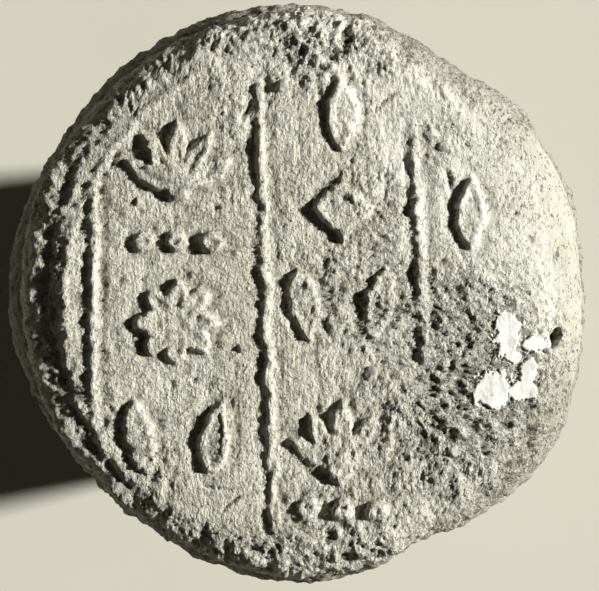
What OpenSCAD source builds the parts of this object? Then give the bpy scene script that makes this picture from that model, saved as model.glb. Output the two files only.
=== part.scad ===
// Funerary cone of fired clay, standing face up on its broken tail.
// A coarse clay core is wrapped in a jacket of finer clay, and a pad of fine clay is pressed on the core's
// domed head and stamped. Sizes are millimetres, +Z is up, and the origin is the centre of the tail's break.

/* [Cone] */
// Height of the shoulder's crest above the broken tail
body_len = 143; // [110:1:200]
// Diameter across the rolled shoulder, the widest part
shoulder_d = 80; // [76:0.5:100]
// Radius of the shoulder's roll
shoulder_roll = 8; // [6:0.5:10]
// Diameter of the broken tail
tail_d = 46; // [36:0.5:60]

/* [Core] */
// Rise of the core's domed head
core_dome = 8; // [5:0.5:10]

/* [Jacket] */
// Thickness of the wrapped jacket, square to the flank
jacket_wall = 5; // [3:0.25:8]
// Width of the half-round seam where the edges of the wrap meet
seam_w = 1.4; // [0.8:0.1:3]
// Length of flank under the shoulder's roll where the seam is smeared shut
seam_shut = 18; // [5:1:80]
// Angle of the seam round the flank, from +X
seam_angle = 205; // [0:5:355]
// Radius of the hollow where a flake is lost from the jacket's broken edge
spall_r = 20; // [14:0.5:24]
// How far that hollow would reach past the jacket's inner face
spall_past = 2; // [0.5:0.25:4]
// Angle of the lost flake round the flank, from +X
spall_angle = 300; // [0:5:355]
// Depth of the deepest of the flats that hands pressed along the flank
press_deep = 1.9; // [0.5:0.1:2.2]
// Depth of the next flat
press_middle = 1.5; // [0.5:0.1:2]
// Depth of the shallowest flat
press_shallow = 1.2; // [0.5:0.1:2]
// Depth of the troughs that fingers drew down the flank
stroke_deep = 0.8; // [0.3:0.1:1]
// Radius of a trough's hollow
stroke_r = 12; // [10:0.5:14]

/* [Face pad] */
// Diameter of the pad
pad_d = 75; // [68:0.5:76]
// Thickness of the pad at its middle, without the raised figures
pad_thick = 9; // [7:0.25:12]
// How far the pad sits off the cone's axis, towards +X
pad_shift = 1.5; // [0:0.1:3]
// Height of the face's crown above the shoulder's crest
pad_stand = 7; // [5:0.25:9]
// Depth of the pad's edge below the shoulder's crest
pad_bed = 7; // [5:0.25:9]
// Swell of the face from its edge to its crown
face_swell = 1.25; // [1:0.25:4]
// Rounding of the pad's edge
rim_round = 5; // [3:0.25:6]

/* [Stamp] */
// How far the stamp's middle lies off the cone's axis, towards +X
stamp_shift = 2.3; // [0:0.1:3]
// Height of the raised figures
figure_h = 1.2; // [0.6:0.1:2]
// Height of the rules between the columns
rule_h = 0.8; // [0.4:0.1:1.6]
// Width of the rules
rule_w = 1.1; // [0.6:0.1:2]
// Clear edge of the pad outside the figures
relief_margin = 1.5; // [0.5:0.25:3]
// Length of a bud
bud_len = 10.5; // [8:0.25:12]
// Width of a bud
bud_w = 4.2; // [3:0.25:5]
// Distance between the buds of a pair
bud_gap = 8.6; // [7:0.2:10]
// Length of a lotus flower's middle petal
lotus_len = 10; // [7:0.25:11]
// Width of a lotus petal
lotus_petal_w = 2.8; // [2:0.1:3.4]
// How much shorter each petal of a lotus is than the one inside it
lotus_step = 0.7; // [0:0.1:1.2]
// Radius of a lotus flower's foot
lotus_foot_r = 1.6; // [1:0.1:2.4]
// Radius of a rosette
rosette_r = 6; // [4:0.25:7]
// Petals of a rosette
rosette_petals = 8; // [6:1:10]
// Width of a rosette's petal
rosette_petal_w = 3.3; // [2:0.1:4]
// Radius of a rosette's middle
rosette_hub_r = 1.8; // [1:0.1:2.5]
// Radius of a bead
bead_r = 1.5; // [1:0.1:2]
// Distance between the beads of a row
bead_pitch = 4.8; // [4.2:0.1:6]
// Half diagonal of the lozenge
lozenge_half = 4.4; // [3:0.1:5]

/* [Plaster and grit] */
// Thickness of the white plaster left on the face
plaster_h = 0.8; // [0.4:0.1:1.5]
// Radius of the largest grit grain
grit_r = 1.5; // [0.9:0.1:1.8]
// Radius of the smallest grit grain
grit_least_r = 0.9; // [0.5:0.1:0.9]
// Grains that show on the flank
grit_count = 18; // [6:1:24]
// Bare length of flank below the lowest grain and above the highest
grit_margin = 20; // [10:1:40]

/* [Hidden] */
$fn = 96;
slack = 1; // overshoot of a cutting shape past what it cuts

core_colour = [0.46, 0.42, 0.35];
jacket_colour = [0.66, 0.64, 0.56];
pad_colour = [0.69, 0.67, 0.59];
plaster_colour = [0.93, 0.92, 0.88];
grit_colour = [0.55, 0.53, 0.48];

// The flank is a straight line from the tail's edge, tangent to the shoulder's roll.
tail_r = tail_d / 2;
roll_centre = [shoulder_d / 2 - shoulder_roll, body_len - shoulder_roll];
roll_dist = norm(roll_centre - [tail_r, 0]);
flank_lean = atan2(roll_centre[0] - tail_r, roll_centre[1]) + asin(shoulder_roll / roll_dist);
flank_len = sqrt(roll_dist ^ 2 - shoulder_roll ^ 2);
function flank_point(along) = [tail_r + along * sin(flank_lean), along * cos(flank_lean)];
function flank_r(z) = tail_r + z * tan(flank_lean);

// Flats pressed along the flank, as angle and depth. Each is a plane that leans as the flank does.
presses = [[231, press_deep], [297, press_middle], [59, press_shallow]];
press_least = 0.5; // cosine past which a flat no longer faces a place
function press_r(z, press, angle) =
    (flank_r(z) - press[1] / cos(flank_lean)) / max(cos(angle - press[0]), press_least);
function skin_r(z, angle) = min(flank_r(z), min([for (press = presses) press_r(z, press, angle)]));

// Finger troughs, as angle and the shares of the flank's length where each starts and ends.
strokes = [
    [90, 0.29, 0.88],
    [116, 0.22, 0.78],
    [146, 0.37, 0.88],
    [168, 0.18, 0.85],
    [187, 0.42, 0.83],
    [335, 0.40, 0.93],
    [9, 0.19, 0.69],
    [30, 0.44, 0.88],
];

// The core follows the flank one jacket thickness in, up to the edge of its dome.
crown_z = body_len + pad_stand;
core_top = crown_z - pad_thick;
core_edge_z = core_top - core_dome;
function core_r(z) = flank_r(z) - jacket_wall / cos(flank_lean);
function cap_r(half_width, rise) = (half_width ^ 2 + rise ^ 2) / (2 * rise);
core_cap_r = cap_r(core_r(core_edge_z), core_dome);

// The face is a spherical cap, and the rounding of the pad's edge is tangent to it.
pad_r = pad_d / 2;
rim_centre_r = pad_r - rim_round;
face_cap_r = cap_r(rim_centre_r, face_swell);
face_cap_z = crown_z - face_cap_r;
rim_centre_z = face_cap_z + sqrt((face_cap_r - rim_round) ^ 2 - rim_centre_r ^ 2);
face_r = rim_centre_r * face_cap_r / (face_cap_r - rim_round);
pad_foot_z = body_len - pad_bed;
function face_z(p) = face_cap_z + sqrt(face_cap_r ^ 2 - p * p);

// Places in the stamp are measured from its middle, x to the right and y up as the face is read.
left_column_x = -18.8;
middle_column_x = 3.9;
right_column_x = 21.7;

// Rules between the columns, from their upper to their lower ends.
rules = [
    [[-30.4, 15.4], [-30.6, -18]],
    [[-7.7, 29], [-5.4, -32]],
    [[13.9, 21], [15.5, -10.5]],
];

// Raised figures: what it is, its column, and the height of its foot or, where it has none, its middle.
stamp = [
    ["lotus", left_column_x, 14.5],
    ["bead row", left_column_x, 7.4],
    ["rosette", left_column_x, -3.6],
    ["bud pair", left_column_x, -24.8],
    ["bud", middle_column_x, 20],
    ["lozenge", middle_column_x, 12],
    ["bud pair", middle_column_x, -6.2],
    ["lotus", middle_column_x, -24.2],
    ["bead row", middle_column_x, -29.6],
    ["bud", right_column_x, 6],
];
bud_lean = 10; // lean of each bud of a pair
row_beads = 3;
lotus_petals = 5;
petal_fan = 30; // angle between the petals of a lotus

// Places near the pad's edge are given as an angle and a distance in from the edge.
function edge_place(angle, inset) = (pad_r - inset) * [cos(angle), sin(angle)];

// Round blots of plaster, which run together into patches: [angle, distance in, radius].
plaster_blots = [
    [351, 10.6, 1.3],
    [346.5, 9.8, 1.5],
    [347.5, 6.3, 1.2],
    [332, 10.6, 1.9],
    [332.5, 7.7, 1.4],
    [336, 6, 1.3],
    [342, 5.4, 0.9],
];

// Grit grains on the face, as angle and distance in. Those on the flank follow a spiral.
face_grit = [[151, 10.8], [97, 8.4], [219, 25.9], [309, 23.7], [313, 8.2], [48, 9.7]];
golden_angle = 137.5; // turn of the spiral from one grain to the next
golden_share = 0.618; // step of the grain sizes through their range
function grit_size(i) = grit_least_r + (grit_r - grit_least_r) * ((i * golden_share) % 1);
grit_run = flank_len - 2 * grit_margin;
function flank_grit_z(i) = flank_point(grit_margin + grit_run * (i + 0.5) / grit_count)[1];

// Solid of revolution of the core: a tapered plug with a domed head.
module core_solid() {
    rotate_extrude() {
        polygon([[0, 0], [core_r(0), 0], [core_r(core_edge_z), core_edge_z], [0, core_edge_z]]);
        intersection() {
            translate([0, core_top - core_cap_r]) circle(core_cap_r);
            translate([0, core_edge_z]) square([core_r(core_edge_z), core_dome + slack]);
        }
    }
}

// Outside of the wrapped body, filled in: a cone with a rolled shoulder.
module body_solid() {
    crest = [roll_centre[0], body_len];
    rotate_extrude() {
        polygon([[0, 0], [tail_r, 0], flank_point(flank_len), roll_centre, crest, [0, body_len]]);
        translate(roll_centre) circle(shoulder_roll);
    }
}

// Outside of the face pad, filled in: a disc with a rounded edge and a swelling face.
module pad_solid() {
    translate([pad_shift, 0, 0]) rotate_extrude() {
        translate([0, pad_foot_z]) square([pad_r, rim_centre_z - pad_foot_z]);
        translate([rim_centre_r, rim_centre_z]) circle(rim_round);
        intersection() {
            translate([0, face_cap_z]) circle(face_cap_r);
            translate([0, pad_foot_z]) square([face_r, crown_z - pad_foot_z + slack]);
        }
    }
}

// Lens with two pointed ends, standing on the origin.
module petal(length, width) {
    bow_r = cap_r(length / 2, width / 2);
    translate([0, length / 2]) intersection_for(side = [-1, 1]) {
        translate([side * (bow_r - width / 2), 0]) circle(bow_r);
    }
}

module bud() {
    petal(bud_len, bud_w);
}

module bud_pair() {
    for (side = [-1, 1]) translate([side * bud_gap / 2, 0]) rotate(-side * bud_lean) bud();
}

module bead_row() {
    middle = (row_beads - 1) / 2;
    for (i = [0 : row_beads - 1]) translate([(i - middle) * bead_pitch, 0]) circle(bead_r);
}

module rosette() {
    circle(rosette_hub_r);
    for (i = [0 : rosette_petals - 1]) rotate(i * 360 / rosette_petals) petal(rosette_r, rosette_petal_w);
}

module lotus() {
    middle = (lotus_petals - 1) / 2;
    circle(lotus_foot_r);
    for (i = [0 : lotus_petals - 1]) {
        length = lotus_len - lotus_step * abs(i - middle);
        rotate((i - middle) * petal_fan) petal(length, lotus_petal_w);
    }
}

module lozenge() {
    rotate(45) square(lozenge_half * sqrt(2), center = true);
}

// All the raised figures, as flat outlines.
module figures() {
    for (figure = stamp) translate([figure[1], figure[2]]) {
        if (figure[0] == "bud") bud();
        if (figure[0] == "bud pair") bud_pair();
        if (figure[0] == "bead row") bead_row();
        if (figure[0] == "rosette") rosette();
        if (figure[0] == "lotus") lotus();
        if (figure[0] == "lozenge") lozenge();
    }
}

module rule_strips() {
    for (ends = rules) {
        run = ends[1] - ends[0];
        translate(ends[0]) rotate(atan2(run[1], run[0]))
            translate([0, -rule_w / 2]) square([norm(run), rule_w]);
    }
}

module blots() {
    for (blot = plaster_blots) translate(edge_place(blot[0], blot[1])) circle(blot[2]);
}

// Carries flat outlines up to a height above the face, following its swell.
module raised(height) {
    intersection() {
        translate([0, 0, height]) pad_solid();
        translate([0, 0, pad_foot_z + slack]) linear_extrude(crown_z - pad_foot_z + height) children();
        translate([pad_shift, 0, pad_foot_z]) cylinder(h = crown_z, r = pad_r - relief_margin);
    }
}

// Each grain sits half in the surface that holds it.
module grit_solids() {
    for (i = [0 : len(face_grit) - 1]) {
        place = edge_place(face_grit[i][0], face_grit[i][1]);
        translate([pad_shift + place[0], place[1], face_z(place)]) sphere(grit_size(i));
    }
    for (i = [0 : grit_count - 1]) {
        angle = i * golden_angle % 360;
        z = flank_grit_z(i);
        rotate(angle) translate([skin_r(z, angle), 0, z]) sphere(grit_size(i));
    }
}

// Half-round groove along the flank where the edges of the wrap meet.
module seam_cut() {
    rotate(seam_angle) translate([tail_r, 0, 0]) rotate([0, flank_lean, 0])
        translate([0, 0, -seam_w]) cylinder(h = seam_w + flank_len - seam_shut, d = seam_w);
}

// Hollow left by the flake that came off the jacket's broken edge.
module spall_cut() {
    rotate(spall_angle) translate([core_r(0) - spall_past + spall_r, 0, 0]) sphere(spall_r);
}

// What the hands pressed off the flank, past the plane of each flat.
module press_cuts() {
    reach = 2 * shoulder_d;
    for (press = presses) rotate(press[0]) translate([tail_r, 0, 0]) rotate([0, flank_lean, 0])
        translate([-press[1], -reach / 2, -shoulder_d]) cube([reach, reach, 2 * body_len + shoulder_d]);
}

// Round hollows of the finger troughs, which lie along the flank.
module stroke_cuts() {
    for (stroke = strokes) rotate(stroke[0]) translate([tail_r, 0, 0]) rotate([0, flank_lean, 0])
        translate([stroke_r - stroke_deep, 0, stroke[1] * flank_len])
            cylinder(h = (stroke[2] - stroke[1]) * flank_len, r = stroke_r);
}

module clay_core() {
    color(core_colour) core_solid();
}

module flank_jacket() {
    color(jacket_colour) difference() {
        body_solid();
        core_solid();
        pad_solid();
        press_cuts();
        stroke_cuts();
        seam_cut();
        spall_cut();
        grit_solids();
    }
}

module face_pad() {
    color(pad_colour) difference() {
        union() {
            pad_solid();
            raised(figure_h) translate([stamp_shift, 0]) figures();
            raised(rule_h) translate([stamp_shift, 0]) rule_strips();
        }
        core_solid();
        grit_solids();
    }
}

module plaster_remains() {
    color(plaster_colour) difference() {
        raised(plaster_h) translate([pad_shift, 0]) blots();
        pad_solid();
    }
}

module grit_grains() {
    color(grit_colour) grit_solids();
}

clay_core();
flank_jacket();
face_pad();
plaster_remains();
grit_grains();
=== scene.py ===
"""A fired-clay funerary cone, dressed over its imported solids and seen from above, face on.

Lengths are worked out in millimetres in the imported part's own frame, and turned to metres as each mesh is
made.
"""

import itertools

import bpy
import numpy as np
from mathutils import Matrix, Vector


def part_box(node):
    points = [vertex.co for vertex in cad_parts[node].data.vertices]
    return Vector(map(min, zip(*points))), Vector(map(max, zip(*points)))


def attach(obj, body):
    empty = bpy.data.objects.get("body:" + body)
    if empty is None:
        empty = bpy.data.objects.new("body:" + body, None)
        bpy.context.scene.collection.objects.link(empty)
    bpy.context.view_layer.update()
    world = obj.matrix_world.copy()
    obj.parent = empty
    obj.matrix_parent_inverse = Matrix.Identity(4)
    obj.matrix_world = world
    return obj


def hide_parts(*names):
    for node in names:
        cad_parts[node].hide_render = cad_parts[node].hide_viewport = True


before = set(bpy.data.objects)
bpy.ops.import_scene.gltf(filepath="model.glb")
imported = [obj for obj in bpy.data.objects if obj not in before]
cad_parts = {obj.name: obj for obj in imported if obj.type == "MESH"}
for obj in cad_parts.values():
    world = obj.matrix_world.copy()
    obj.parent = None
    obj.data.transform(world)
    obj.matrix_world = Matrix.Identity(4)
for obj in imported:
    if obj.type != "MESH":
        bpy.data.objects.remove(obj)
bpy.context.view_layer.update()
MM = 0.001

# Camera
# A copy stand's camera, straight above the stamped face, with the top of the face at the top of the picture.
# The lens is long, so that the flank stays hidden under the shoulder.
jacket_low, jacket_high = (np.array(corner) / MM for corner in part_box("flank_jacket"))
body_len = jacket_high[2]
shoulder_r = (jacket_high[0] - jacket_low[0]) / 2
view_width = 83.3
view_middle = (0.35, 0.07)
camera_above = 1000.0
sensor_width = 36.0
view_end = 100.0

camera = bpy.data.objects.new("camera", bpy.data.cameras.new("camera"))
bpy.context.scene.collection.objects.link(camera)
camera.location = (view_middle[0] * MM, view_middle[1] * MM, (body_len + camera_above) * MM)
camera.data.sensor_width = sensor_width
camera.data.lens = sensor_width * camera_above / view_width
camera.data.clip_end = view_end
bpy.context.scene.camera = camera
bpy.context.scene.view_settings.view_transform = "Standard"

# Light
# One small soft lamp rakes the face from the right and a little above, and a dim room fills the shadows.
# On a level surface the two add up to about one, so that a colour renders as it is written.
key_azimuth = np.radians(9)
key_height = np.radians(27)
key_blur = np.radians(5)
key_strength = 2.1 * np.pi
room_strength = 0.018
room_seen = (0.72, 0.70, 0.575, 1)

key = bpy.data.objects.new("key_lamp", bpy.data.lights.new("key_lamp", "SUN"))
bpy.context.scene.collection.objects.link(key)
key.data.energy = key_strength
key.data.angle = key_blur
to_key = Vector((
    np.cos(key_height) * np.cos(key_azimuth),
    np.cos(key_height) * np.sin(key_azimuth),
    np.sin(key_height),
))
key.rotation_mode = "QUATERNION"
key.rotation_quaternion = to_key.to_track_quat("Z", "Y")


class Shade:
    """A socket in a node tree. Arithmetic on it adds Math nodes, and node() adds any other node."""

    def __init__(self, tree, socket=None):
        self.tree = tree
        self.socket = socket

    def node(self, kind, settings=None, inputs=None, out=0):
        """Adds a node, sets what it is told to, then gives each input a number, a colour or a link."""
        made = self.tree.nodes.new(kind)
        for name, value in (settings or {}).items():
            setattr(made, name, value)
        for name, value in (inputs or {}).items():
            if isinstance(value, Shade):
                self.tree.links.new(value.socket, made.inputs[name])
            else:
                made.inputs[name].default_value = value
        return Shade(self.tree, made.outputs[out] if made.outputs else None)

    def math(self, operation, *values):
        """Adds a Math node that works on these values."""
        return self.node("ShaderNodeMath", {"operation": operation}, dict(enumerate(values)))

    def __add__(self, other):
        return self.math("ADD", self, other)

    def __sub__(self, other):
        return self.math("SUBTRACT", self, other)

    def __rsub__(self, other):
        return self.math("SUBTRACT", other, self)

    def __mul__(self, other):
        return self.math("MULTIPLY", self, other)

    __radd__ = __add__
    __rmul__ = __mul__

    def between(self, low, high):
        """0 where the value is low or less, 1 where it is high or more, straight in between."""
        inputs = {"Value": self, "From Min": low, "From Max": high}
        return self.node("ShaderNodeMapRange", {"clamp": True}, inputs)

    def blend(self, first, second):
        """A colour that goes from first to second as this value goes from 0 to 1."""
        return self.node("ShaderNodeMix", {"data_type": "RGBA"}, {0: self, 6: first, 7: second}, out=2)


def looked_at(tree):
    """1 for a ray that the picture shows, straight, mirrored or through glass, else 0."""
    seen = tree.node("ShaderNodeLightPath", out="Is Camera Ray")
    for ray in ("Is Glossy Ray", "Is Transmission Ray"):
        seen = seen.math("MAXIMUM", seen, tree.node("ShaderNodeLightPath", out=ray))
    return seen


world = bpy.data.worlds.new("room")
bpy.context.scene.world = world
world.use_nodes = True
world.node_tree.nodes.clear()
room = Shade(world.node_tree)
glow = room.node("ShaderNodeBackground", inputs={"Color": (1, 1, 1, 1), "Strength": room_strength})
backdrop = room.node("ShaderNodeBackground", inputs={"Color": room_seen, "Strength": 1.0})
mixed = room.node("ShaderNodeMixShader", inputs={0: looked_at(room), 1: glow, 2: backdrop})
room.node("ShaderNodeOutputWorld", inputs={"Surface": mixed})

# Floor
# A plain pale board, wide enough to fill the picture from any side, level with the tail that stands on it.
# It throws back less light than its colour would, so that the shadows on the cone stay deep.
floor_half = 20.0
floor_pale = (0.69, 0.67, 0.55, 1)
floor_dull = (0.655, 0.635, 0.52, 1)
floor_mottle = 9.0
floor_bounce = (0.43, 0.42, 0.35, 1)

floor_mesh = bpy.data.meshes.new("floor")
floor_corners = [(x * floor_half, y * floor_half, 0) for x, y in ((-1, -1), (1, -1), (1, 1), (-1, 1))]
floor_mesh.from_pydata(floor_corners, [], [(0, 1, 2, 3)])
floor = bpy.data.objects.new("floor", floor_mesh)
bpy.context.scene.collection.objects.link(floor)


def new_material(name):
    """An empty node material, and the place on its piece, which its other nodes are added from."""
    material = bpy.data.materials.new(name)
    material.use_nodes = True
    material.node_tree.nodes.clear()
    return material, Shade(material.node_tree).node("ShaderNodeTexCoord", out="Object")


def finish_material(colour, roughness, shine, relief=None, relief_h=1.0):
    """Joins a Principled shader to the material's output, with a Bump node where a relief is given."""
    inputs = {"Base Color": colour, "Roughness": roughness, "Specular IOR Level": shine}
    if relief:
        bump = {"Strength": 1.0, "Distance": relief_h, "Height": relief}
        inputs["Normal"] = relief.node("ShaderNodeBump", inputs=bump)
    shader = colour.node("ShaderNodeBsdfPrincipled", inputs=inputs)
    shader.node("ShaderNodeOutputMaterial", inputs={"Surface": shader})


board, place = new_material("floor_board")
mottle = place.node("ShaderNodeTexNoise", inputs={"Vector": place, "Scale": floor_mottle, "Detail": 4.0})
shown = mottle.between(0.35, 0.65).blend(floor_dull, floor_pale)
finish_material(looked_at(place).blend(floor_bounce, shown), roughness=1.0, shine=0.0)
floor_mesh.materials.append(board)

# Clay core
# A plug of coarse river clay full of chopped chaff, rolled by hand into a cone with a domed head.
# It carries the rest, and shows only in the broken tail and where a flake of the jacket is lost.
core_high = np.array(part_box("clay_core")[1]) / MM
tail_r = 23.0
shoulder_roll = 8.0
jacket_wall = 5.0
core_dome = 8.0
core_around = 300
core_rows_under = 40
core_rows_side = 110
core_rows_dome = 24
# Rows of the side crowd towards the tail by this power, and the first ring round a pole is this share wide.
core_crowd = 1.25
pole_share = 0.02
core_lump_h = 0.5
chaff_size = 2.4
chaff_depth = 0.7
break_lift = 1.1
# Height, size and seed of each kind of lump in the tail's break.
break_lumps = ((1.3, 11, 31), (0.6, 4, 32), (0.3, 1.5, 33))
# Turn of the streaks along which the clay flays, in degrees.
flay_turn = -42
slope_count = 512
lattice_keys = (73856093, 19349663, 83492791)
grain_gain = 1.6
roll_r = shoulder_r - shoulder_roll
roll_z = body_len - shoulder_roll
roll_dist = np.hypot(roll_r - tail_r, roll_z)
flank_lean = np.arctan2(roll_r - tail_r, roll_z) + np.arcsin(shoulder_roll / roll_dist)
flank_len = np.sqrt(roll_dist**2 - shoulder_roll**2)


def flank_r(z):
    """Radius of the flank's straight line at a height."""
    return tail_r + z * np.tan(flank_lean)


def core_r(z):
    """Radius of the core's side at a height: the flank, less the jacket's wall square to it."""
    return flank_r(z) - jacket_wall / np.cos(flank_lean)


def grain(points, size, seed):
    """Gradient noise, about -1 to 1: random slopes at the corners of a lattice of that size, eased."""
    slopes = np.random.default_rng(seed).normal(size=(slope_count, 3))
    slopes /= np.linalg.norm(slopes, axis=1, keepdims=True)
    scaled = np.asarray(points) / size
    cell = np.floor(scaled).astype(np.int64)
    part = scaled - cell
    ease = part**3 * (part * (part * 6 - 15) + 10)
    total = np.zeros(scaled.shape[:-1])
    for corner in itertools.product((0, 1), repeat=3):
        key = (cell + corner) * lattice_keys
        slope = slopes[(key[..., 0] ^ key[..., 1] ^ key[..., 2]) % slope_count]
        weight = np.prod(np.where(corner, ease, 1 - ease), axis=-1)
        total += weight * np.sum(slope * (part - corner), axis=-1)
    return total * grain_gain


def rough(points, size, seed, layers=3, fade=0.5):
    """Layers of gradient noise, each half the size of the one before and fainter by the fade."""
    return sum(fade**i * grain(points, size / 2**i, seed + i) for i in range(layers))


def ramp(value, low, high):
    """0 at low and below, 1 at high and above, an S-curve between."""
    share = np.clip((value - low) / (high - low), 0, 1)
    return share * share * (3 - 2 * share)


def at_turn(radius, turn, z):
    """Points at a distance from the axis, a turn round it and a height."""
    return np.stack(np.broadcast_arrays(radius * np.cos(turn), radius * np.sin(turn), z), axis=-1)


def turned_faces(rows, around, first=0):
    """Quads between each row of a turned grid and the next, facing outwards where rows climb the outside."""
    row, column = np.meshgrid(np.arange(rows - 1), np.arange(around), indexing="ij")
    following = (column + 1) % around
    corners = [row * around + column, row * around + following]
    corners += [(row + 1) * around + following, (row + 1) * around + column]
    return np.stack(corners, axis=-1).reshape(-1, 4) + first


def fan_faces(ring, middle, upward):
    """Triangles from a ring of point numbers, counted anticlockwise from above, to one middle point."""
    following = np.roll(ring, -1)
    centre = np.full_like(ring, middle)
    return np.stack([centre, ring, following] if upward else [centre, following, ring], axis=-1)


def make_piece(name, points, faces, fields, material, node):
    """Makes a closed mesh in metres with its fields as point attributes, and sets it in the part's frame."""
    mesh = bpy.data.meshes.new(name)
    corners = (points.reshape(-1, 3) * MM).tolist()
    mesh.from_pydata(corners, [], [face for group in faces for face in group.tolist()])
    for field, values in fields.items():
        values = np.asarray(values, dtype=np.float32).ravel()
        padded = np.zeros(len(mesh.vertices), dtype=np.float32)
        padded[: len(values)] = values
        mesh.attributes.new(field, "FLOAT", "POINT").data.foreach_set("value", padded)
    mesh.shade_smooth()
    mesh.materials.append(material)
    piece = bpy.data.objects.new(name, mesh)
    bpy.context.scene.collection.objects.link(piece)
    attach(piece, "root")
    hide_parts(node)


def break_z(x, y):
    """Height of the tail's break: lumps in three sizes, cut off level where they meet the floor."""
    flat = np.stack([x, y, np.zeros_like(x)], axis=-1)
    lumps = sum(height * grain(flat, size, seed) for height, size, seed in break_lumps)
    return np.clip(break_lift + lumps, 0, None)


core_top = core_high[2]
core_edge_z = core_top - core_dome
core_edge_r = core_r(core_edge_z)
angle = np.linspace(0, 2 * np.pi, core_around, endpoint=False)
under_r = np.linspace(pole_share, 1, core_rows_under, endpoint=False) * core_r(0)
side_z = core_edge_z * np.linspace(0, 1, core_rows_side) ** core_crowd
dome_turn = np.linspace(0, 1 - pole_share, core_rows_dome)[1:] * np.pi / 2
core_profile_r = np.concatenate([under_r, core_r(side_z), core_edge_r * np.cos(dome_turn)])
core_profile_z = np.concatenate([0 * under_r, side_z, core_edge_z + core_dome * np.sin(dome_turn)])
ring_r, ring_angle = np.meshgrid(core_profile_r, angle, indexing="ij")
ring_z = np.repeat(core_profile_z[:, None], core_around, axis=1)
core_flat = at_turn(ring_r, ring_angle, ring_z)
chaff = np.abs(grain(core_flat * [1, 1, 0.4], chaff_size, 41))
core_bump = core_lump_h * rough(core_flat, 6, 42, 4) - chaff_depth * ramp(0.16 - chaff, 0, 0.14)
side = ramp(ring_z, 0, 1) * ramp(core_edge_z - ring_z, 0, 8)
core_points = at_turn(ring_r + core_bump * side, ring_angle, ring_z)
lift = break_z(core_points[..., 0], core_points[..., 1]) - 0.4 * ramp(0.1 - chaff, 0, 0.1)
core_points[..., 2] = np.maximum(core_points[..., 2], np.clip(lift, 0, None))
core_count = core_points.shape[0] * core_around
core_poles = np.array([[0, 0, break_z(np.zeros(1), np.zeros(1))[0]], [0, 0, core_top]])
core_ends = [np.arange(core_around), np.arange(core_count - core_around, core_count)]
core_faces = [
    turned_faces(core_points.shape[0], core_around),
    fan_faces(core_ends[0], core_count, upward=False),
    fan_faces(core_ends[1], core_count + 1, upward=True),
]
# Painted shade in the voids that the chaff left in the core's skin.
core_hollow = ramp(0.2 - chaff, 0, 0.2)


def noise(place, size, detail, harsh=0.5):
    """Noise about 0.5 over the places, with features of about that size in millimetres."""
    inputs = {"Vector": place, "Scale": 1 / (size * MM), "Detail": detail, "Roughness": harsh}
    return place.node("ShaderNodeTexNoise", inputs=inputs)


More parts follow.
